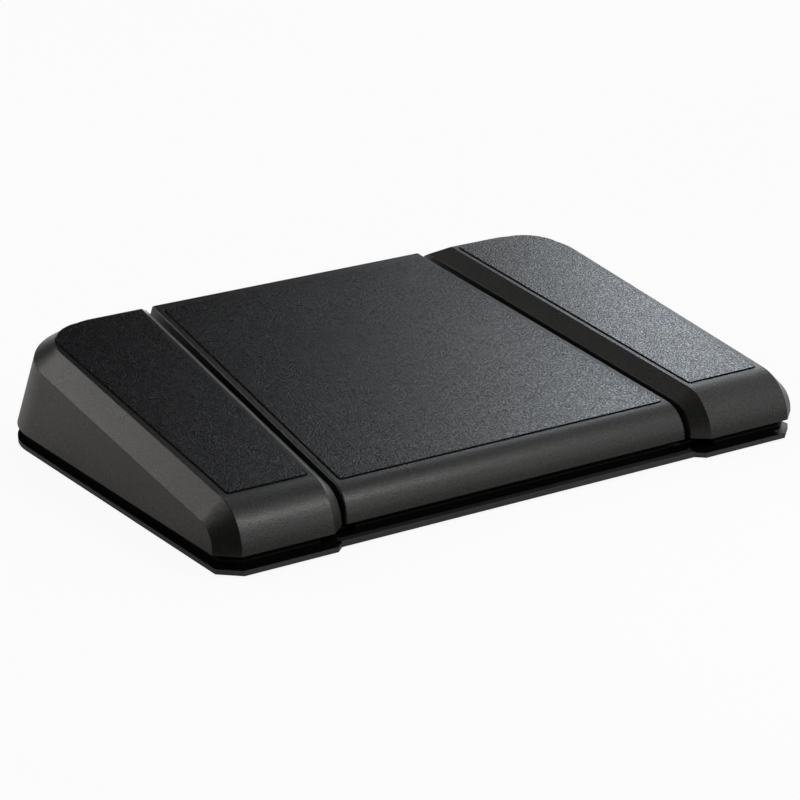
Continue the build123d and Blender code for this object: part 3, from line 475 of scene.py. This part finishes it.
def small_plastic(name, color, roughness, grain):
    """Fine moulded plastic of chips, switches and connectors, with pits about grain wide."""
    cloud_share, depth_share = 14.0, 0.05
    tones = (0.82, 1.25)
    edge_radius = 0.0002
    finish = Finish(name)
    pits = finish.noise(grain, roughness=0.6)
    clouds = finish.noise(grain * cloud_share)
    tone = finish.tint(finish.spread(0.6 * pits + 0.4 * clouds, EVEN_SPAN), color, tones)
    rough = finish.spread(clouds, EVEN_SPAN, roughness)
    normal = finish.relief(pits, grain * depth_share, finish.soft_edges(edge_radius))
    return finish.surface(base_color=tone, roughness=rough, normal=normal)


def dress(material, *names):
    """Gives CAD nodes their finish."""
    for name in names:
        if name not in nodes:
            raise RuntimeError("there is no CAD node named " + name)
        mesh = nodes[name].data
        mesh.materials.clear()
        mesh.materials.append(material)


# New pieces

def skin(rings):
    """Points and faces of a closed skin over rings of points: quads between neighbours and a cap on each end.

    Rings turn clockwise, seen along the path that they follow.
    """
    stations, count = rings.shape[:2]
    row = np.arange(stations - 1)[:, None] * count
    column = np.arange(count)[None, :]
    after = (column + 1) % count
    corners = (row + column, row + count + column, row + count + after, row + after)
    quads = np.stack(np.broadcast_arrays(*corners), axis=-1)
    last = (stations - 1) * count
    caps = [list(range(count)), list(range(last, last + count))[::-1]]
    return rings.reshape(-1, 3), quads.reshape(-1, 4).tolist() + caps


def skin_mesh(name, skins):
    """One mesh of several closed skins."""
    points, faces, start = [], [], 0
    for ring_points, ring_faces in skins:
        points.append(ring_points)
        faces += [[start + corner for corner in face] for face in ring_faces]
        start += len(ring_points)
    mesh = bpy.data.meshes.new(name)
    mesh.from_pydata(np.concatenate(points).tolist(), [], faces)
    mesh.update()
    return mesh


def bar_mesh(name, paths, width, height, rounding):
    """Flat bars with rounded edges, one along each path.

    The profile is a superellipse, (width/2 * sgn(cos t) |cos t|^r, height/2 * sgn(sin t) |sin t|^r), with t
    round a turn and r the rounding. It stands square to Y at each point of its path, a little smaller at the ends.
    """
    corners, end_size = 16, 0.72
    turn = np.linspace(0.0, 2.0 * np.pi, corners, endpoint=False)
    side, rise = (np.sign(wave) * np.abs(wave) ** rounding for wave in (np.cos(turn), np.sin(turn)))
    profile = np.stack([width / 2 * side, np.zeros_like(turn), height / 2 * rise], axis=1)
    skins = []
    for path in paths:
        size = np.ones(len(path))
        size[0] = size[-1] = end_size
        skins.append(skin(path[:, None, :] + profile[None, :, :] * size[:, None, None]))
    return skin_mesh(name, skins)


def coil_mesh(name, low, high, wire, turns):
    """Round wire wound into an upright spring that fills a box.

    The wire's middle is (x + R cos a, y + R sin a, z + rise * a), with a growing from 0 over the turns. Round
    it goes a circle of the wire's radius r: r cos b along the outward (cos a, sin a, 0) and r sin b along
    (s sin a, -s cos a, c), where c and s are the cosine and sine of the wire's climb.
    """
    steps_per_turn, corners = 40, 14
    middle, r = (low + high) / 2, wire / 2
    radius = (high.x - low.x) / 2 - r
    rise = (high.z - low.z - wire) / (2.0 * np.pi * turns)
    climb = math.atan2(rise, radius)
    a = np.linspace(0.0, 2.0 * np.pi * turns, steps_per_turn * turns + 1)
    b = np.linspace(0.0, 2.0 * np.pi, corners, endpoint=False)
    outward = np.stack([np.cos(a), np.sin(a), np.zeros_like(a)], axis=1)
    upward = np.stack([math.sin(climb) * np.sin(a), -math.sin(climb) * np.cos(a),
                       np.full_like(a, math.cos(climb))], axis=1)
    path = np.array([middle.x, middle.y, low.z + r]) + radius * outward
    path[:, 2] += rise * a
    rings = (path[:, None, :] + r * np.cos(b)[None, :, None] * outward[:, None, :]
             + r * np.sin(b)[None, :, None] * upward[:, None, :])
    mesh = skin_mesh(name, [skin(rings)])
    mesh.polygons.foreach_set("use_smooth", np.ones(len(mesh.polygons), dtype=bool))
    return mesh


def add_piece(name, mesh, material, body):
    """Puts a new mesh into the scene as a piece that rides on a body."""
    mesh.materials.append(material)
    piece = bpy.data.objects.new(name, mesh)
    bpy.context.scene.collection.objects.link(piece)
    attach(piece, body)
    return piece


# Operators

class FOOTSWITCH_OT_shells(bpy.types.Operator):
    """Give the three pedal shells their satin plastic"""
    bl_idname = "footswitch.shells"
    bl_label = "Finish pedal shells"

    def execute(self, context):
        dress(shell_plastic(context.scene.footswitch_plastic), "left_pedal", "center_pedal", "right_pedal")
        return {"FINISHED"}


class FOOTSWITCH_OT_pads(bpy.types.Operator):
    """Give the tread pads their leather grain"""
    bl_idname = "footswitch.pads"
    bl_label = "Finish tread pads"

    def execute(self, context):
        dress(pad_leather(context.scene.footswitch_plastic),
              "left_tread_pad", "center_tread_pad", "right_tread_pad")
        return {"FINISHED"}


class FOOTSWITCH_OT_tray(bpy.types.Operator):
    """Give the base tray its matt plastic"""
    bl_idname = "footswitch.tray"
    bl_label = "Finish base tray"

    def execute(self, context):
        dress(tray_plastic(context.scene.footswitch_plastic), "base_tray")
        return {"FINISHED"}


class FOOTSWITCH_OT_rubber(bpy.types.Operator):
    """Give the feet and bump stops their rubber"""
    bl_idname = "footswitch.rubber"
    bl_label = "Finish rubber parts"

    def execute(self, context):
        dress(black_rubber(context.scene.footswitch_parts.rubber_color),
              "rubber_feet", "left_bump_stop", "center_bump_stops", "right_bump_stop")
        return {"FINISHED"}


class FOOTSWITCH_OT_steel(bpy.types.Operator):
    """Give the ballast plate, brackets, pins and screws their metals"""
    bl_idname = "footswitch.steel"
    bl_label = "Finish steel parts"

    def execute(self, context):
        looks = context.scene.footswitch_parts
        dress(zinc_plate(looks.zinc_color), "ballast_plate", "left_hinge_bracket", "right_hinge_bracket",
              "center_hinge_bracket_left", "center_hinge_bracket_right")
        pins = drawn_steel("ground_pin_steel", looks.steel_color, roughness=(0.16, 0.28), streak_size=0.002)
        dress(pins, "left_hinge_pin", "center_hinge_pin", "right_hinge_pin")
        screws = drawn_steel("blackened_screw_steel", looks.screw_color, roughness=(0.32, 0.48),
                             streak_size=0.0015)
        dress(screws, "plate_screws", "bracket_screws", "board_screws")
        return {"FINISHED"}


class FOOTSWITCH_OT_springs(bpy.types.Operator):
    """Wind the return springs and finish the clips like them"""
    bl_idname = "footswitch.springs"
    bl_label = "Wind return springs"

    def execute(self, context):
        looks = context.scene.footswitch_parts
        wire_tone = 0.72
        steel = drawn_steel("spring_wire_steel", shade(looks.steel_color, wire_tone), roughness=(0.26, 0.40),
                            streak_size=0.0012)
        dress(steel, "hinge_pin_clips")
        joints = {joint["name"]: joint for joint in frame["record"]["behaviour"]["joints"]}
        for side in SIDES:
            hinge = side + "_pedal_hinge"
            low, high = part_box(side + "_return_spring")
            reach = joints[hinge]["pos_m"][1] - low.y
            drop = reach * math.tan(math.radians(joints[hinge]["range_deg"][1]))
            name = side + "_return_coil"
            mesh = coil_mesh(name, low, high, looks.spring_wire, looks.spring_turns)
            coil = add_piece(name, mesh, steel, "base")
            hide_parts(side + "_return_spring")
            1.0 - drop / (high.z - low.z)
            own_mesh(coil)
        return {"FINISHED"}


class FOOTSWITCH_OT_board(bpy.types.Operator):
    """Give the circuit board, its chip and its small parts their finishes"""
    bl_idname = "footswitch.board"
    bl_label = "Finish circuit board"

    def execute(self, context):
        chip_black, ceramic_brown = (0.012, 0.012, 0.013), (0.20, 0.14, 0.09)
        dress(solder_mask(context.scene.footswitch_parts.board_color), "main_circuit_board")
        chip = small_plastic("chip_package", chip_black, roughness=(0.42, 0.55), grain=0.00025)
        dress(chip, "controller_chip")
        ceramic = small_plastic("ceramic_parts", ceramic_brown, roughness=(0.35, 0.5), grain=0.0002)
        dress(ceramic, "board_components")
        return {"FINISHED"}


class FOOTSWITCH_OT_switches(bpy.types.Operator):
    """Give the switch cases, levers and plungers their finishes"""
    bl_idname = "footswitch.switches"
    bl_label = "Finish switches"

    def execute(self, context):
        case_black, plunger_red = (0.016, 0.016, 0.017), (0.42, 0.045, 0.035)
        case = small_plastic("switch_case_plastic", case_black, roughness=(0.38, 0.52), grain=0.0004)
        plunger = small_plastic("plunger_plastic", plunger_red, roughness=(0.30, 0.42), grain=0.0003)
        lever = drawn_steel("lever_steel", context.scene.footswitch_parts.steel_color, roughness=(0.20, 0.34),
                            streak_size=0.0015)
        for side in SIDES:
            dress(case, side + "_switch_case")
            dress(plunger, side + "_switch_plunger")
            dress(lever, side + "_switch_lever")
        return {"FINISHED"}


class FOOTSWITCH_OT_socket(bpy.types.Operator):
    """Finish the socket for the lead and lay its gold contacts on the tongue"""
    bl_idname = "footswitch.socket"
    bl_label = "Finish socket"

    def execute(self, context):
        looks = context.scene.footswitch_parts
        shell_tone, tongue_black = 1.15, (0.010, 0.010, 0.010)
        shell = drawn_steel("socket_shell_steel", shade(looks.steel_color, shell_tone), roughness=(0.20, 0.32),
                            streak_size=0.001)
        dress(shell, "usb_socket_shell")
        tongue = small_plastic("socket_tongue_plastic", tongue_black, roughness=(0.38, 0.50), grain=0.0002)
        dress(tongue, "usb_socket_tongue")

        count, pitch, width, sheet = 12, 0.0005, 0.00026, 0.00006
        root_margin, mouth_margin, stations = 0.0009, 0.0004, 6
        low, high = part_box("usb_socket_tongue")
        along = np.linspace(low.y + root_margin, high.y - mouth_margin, stations)
        paths = []
        for z in (high.z + sheet / 2, low.z - sheet / 2):
            for x in (np.arange(count) - (count - 1) / 2) * pitch:
                paths.append(np.stack([np.full_like(along, x), along, np.full_like(along, z)], axis=1))
        gold = drawn_steel("contact_gold", looks.contact_color, roughness=(0.18, 0.30), streak_size=0.0006)
        contacts = bar_mesh("socket_contacts", paths, width, sheet, rounding=0.5)
        add_piece("socket_contacts", contacts, gold, "base")
        return {"FINISHED"}


# Stage

def stage_plane(name, corners, material):
    """Flat sheet of the floor or a card, put into the scene with its material."""
    mesh = bpy.data.meshes.new(name)
    mesh.from_pydata(corners, [], [list(range(len(corners)))])
    mesh.update()
    mesh.materials.append(material)
    sheet = bpy.data.objects.new(name, mesh)
    bpy.context.scene.collection.objects.link(sheet)
    return sheet


def square(reach, z):
    """Corners of a level square, reach from its middle to each side."""
    return [(-reach, -reach, z), (reach, -reach, z), (reach, reach, z), (-reach, reach, z)]


def corner_outline(reach, corner, z):
    """Corners of a level square with its back right part cut away as far as a corner, the same in X and Y."""
    return [(-reach, -reach, z), (reach, -reach, z), (reach, corner, z),
            (corner, corner, z), (corner, reach, z), (-reach, reach, z)]


def around(azimuth, elevation, distance):
    """Point round the object: azimuth in degrees from the back towards the right, elevation from the floor."""
    a, e = math.radians(azimuth), math.radians(elevation)
    return Vector((math.sin(a) * math.cos(e), math.cos(a) * math.cos(e), math.sin(e))) * distance


def card(name, corners, material):
    """Sheet that is seen only in reflections."""
    sheet = stage_plane(name, corners, material)
    sheet.visible_camera = False
    sheet.visible_shadow = False
    sheet.visible_diffuse = False
    sheet.visible_transmission = False


def upright_outline(first, last, distance, low, high):
    """Corners of an upright sheet between two azimuths and two heights."""
    a, b = around(first, 0.0, distance), around(last, 0.0, distance)
    foot, top = Vector((0.0, 0.0, low)), Vector((0.0, 0.0, high))
    return [tuple(a + foot), tuple(b + foot), tuple(b + top), tuple(a + top)]


def soft_box(name, azimuth, elevation, width, height, radiance, color, distance):
    """Soft box that faces the object, its width and height in degrees as the object sees them."""
    data = bpy.data.lights.new(name, "AREA")
    data.shape = "RECTANGLE"
    data.size = 2.0 * distance * math.tan(math.radians(width * math.cos(math.radians(elevation)) / 2.0))
    data.size_y = 2.0 * distance * math.tan(math.radians(height / 2.0))
    data.energy = radiance * math.pi * data.size * data.size_y
    data.color = color
    lamp = bpy.data.objects.new(name, data)
    lamp.location = around(azimuth, elevation, distance)
    lamp.rotation_euler = (Vector(LIT_POINT) - lamp.location).to_track_quat("-Z", "Y").to_euler()
    lamp.visible_camera = False
    bpy.context.scene.collection.objects.link(lamp)


def seen_directly(tree):
    """1 for rays from the camera and for those off gloss and through glass, else 0."""
    path = tree.nodes.new("ShaderNodeLightPath")
    most = path.outputs["Is Camera Ray"]
    for name in ("Is Glossy Ray", "Is Transmission Ray"):
        larger = tree.nodes.new("ShaderNodeMath")
        larger.operation = "MAXIMUM"
        tree.links.new(most, larger.inputs[0])
        tree.links.new(path.outputs[name], larger.inputs[1])
        most = larger.outputs[0]
    return most


def pale_floor(color, white_share):
    """Pale matt floor that keeps its shadows and shows white by a share where it is seen."""
    cloud_size, tones = 0.6, (0.985, 1.0)
    finish = Finish("pale_floor")
    tone = finish.tint(finish.noise(cloud_size), color, tones)
    matt = finish.node("ShaderNodeBsdfDiffuse", None, {"Color": tone})
    white = finish.node("ShaderNodeEmission", None, {"Color": (*WHITE, 1.0), "Strength": 1.0})
    factor = Wire(finish, seen_directly(finish.tree)) * white_share
    return finish.end(finish.node("ShaderNodeMixShader", None, {0: factor, 1: matt, 2: white}))


def dark_card(name, grey, corner=None):
    """Matt card of a warm grey, black where X and Y are both below those of a corner."""
    nap_size, nap_tones = 0.004, (0.8, 1.0)
    warmth = (1.0, 0.975, 0.93)
    black = (0.002, 0.002, 0.002, 1.0)
    finish = Finish(name)
    tone = finish.tint(finish.noise(nap_size), tuple(share * grey for share in warmth), nap_tones)
    if corner is not None:
        past_x, past_y = (finish.band(finish.axis(name), (start, start + fade))
                          for name, start, fade in zip("XY", corner, LOW_CARD_FADE))
        tone = finish.mix(finish.math("MAXIMUM", past_x, past_y), black, tone)
    return finish.surface(base_color=tone, roughness=1.0, specular_ior_level=0.0)


def even_room(level):
    """World with an even light of a level from all round, which shows white where it is seen."""
    world = bpy.data.worlds.new("even_room")
    world.use_nodes = True
    tree = world.node_tree
    tree.nodes.clear()
    mix = tree.nodes.new("ShaderNodeMix")
    mix.data_type = "RGBA"
    mix.inputs[6].default_value = (level, level, level, 1.0)
    mix.inputs[7].default_value = (*WHITE, 1.0)
    tree.links.new(seen_directly(tree), mix.inputs[0])
    sky = tree.nodes.new("ShaderNodeBackground")
    tree.links.new(mix.outputs[2], sky.inputs["Color"])
    out = tree.nodes.new("ShaderNodeOutputWorld")
    tree.links.new(sky.outputs[0], out.inputs["Surface"])
    return world


def photo_camera():
    """Camera with the view and perspective fitted to the photo."""
    camera = bpy.data.objects.new("photo_camera", bpy.data.cameras.new("photo_camera"))
    camera.data.lens = CAMERA_LENS
    camera.data.sensor_width = CAMERA_SENSOR
    camera.data.clip_start, camera.data.clip_end = CAMERA_CLIP
    camera.matrix_world = Matrix.Translation(CAMERA_PLACE) @ Matrix(CAMERA_AXES).transposed().to_4x4()
    bpy.context.scene.collection.objects.link(camera)
    return camera


class FOOTSWITCH_OT_stage(bpy.types.Operator):
    """Set up the pale floor, the soft studio light and the camera"""
    bl_idname = "footswitch.stage"
    bl_label = "Set up the stage"

    def execute(self, context):
        scene = context.scene
        looks = scene.footswitch_stage
        stage_plane("floor", square(FLOOR_REACH, 0.0), pale_floor(looks.floor_color, FLOOR_WHITE_SHARE))
        scene.world = even_room(looks.room_level)

        black = dark_card("black_card", BLACK_CARD_GREY)
        graded = dark_card("graded_card", LOW_CARD_GREY, LOW_CARD_BLACK)
        for name, (first, last, distance, low) in UPRIGHT_CARDS.items():
            card(name, upright_outline(first, last, distance, low, CARD_TOP_Z), black)
        card("card_top", square(TOP_CARD_REACH, TOP_CARD_Z), black)
        card("card_low", corner_outline(LOW_CARD_REACH, LOW_CARD_CORNER, LOW_CARD_Z), graded)

        for name, numbers in SOFT_BOXES.items():
            soft_box(name, *numbers)

        scene.camera = photo_camera()
        scene.view_settings.view_transform = "Standard"
        return {"FINISHED"}


PIECES = (FOOTSWITCH_OT_shells, FOOTSWITCH_OT_pads, FOOTSWITCH_OT_tray, FOOTSWITCH_OT_rubber,
          FOOTSWITCH_OT_steel, FOOTSWITCH_OT_springs, FOOTSWITCH_OT_board, FOOTSWITCH_OT_switches,
          FOOTSWITCH_OT_socket, FOOTSWITCH_OT_stage)


class FOOTSWITCH_PT_sidebar(bpy.types.Panel):
    """Lists the foot switch's sizes, colours and steps"""
    bl_idname = "FOOTSWITCH_PT_sidebar"
    bl_label = "Foot switch"
    bl_space_type = "VIEW_3D"
    bl_region_type = "UI"
    bl_category = "Foot switch"

    def draw(self, context):
        scene = context.scene
        for title, looks in (("Plastics", scene.footswitch_plastic), ("Other parts", scene.footswitch_parts),
                             ("Stage", scene.footswitch_stage)):
            box = self.layout.box()
            box.label(text=title)
            for name in looks.__annotations__:
                box.prop(looks, name)
        for piece in PIECES:
            self.layout.operator(piece.bl_idname)


CLASSES = (PlasticLooks, PartLooks, StageLooks, *PIECES, FOOTSWITCH_PT_sidebar)


def register():
    for item in CLASSES:
        bpy.utils.register_class(item)
    bpy.types.Scene.footswitch_plastic = PointerProperty(type=PlasticLooks)
    bpy.types.Scene.footswitch_parts = PointerProperty(type=PartLooks)
    bpy.types.Scene.footswitch_stage = PointerProperty(type=StageLooks)


def unregister():
    del bpy.types.Scene.footswitch_stage
    del bpy.types.Scene.footswitch_parts
    del bpy.types.Scene.footswitch_plastic
    for item in reversed(CLASSES):
        bpy.utils.unregister_class(item)


def main():
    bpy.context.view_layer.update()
    register()
    bpy.ops.footswitch.shells()
    bpy.ops.footswitch.pads()
    bpy.ops.footswitch.tray()
    bpy.ops.footswitch.rubber()
    bpy.ops.footswitch.steel()
    bpy.ops.footswitch.springs()
    bpy.ops.footswitch.board()
    bpy.ops.footswitch.switches()
    bpy.ops.footswitch.socket()
    bpy.ops.footswitch.stage()


if __name__ == "__main__":
    main()
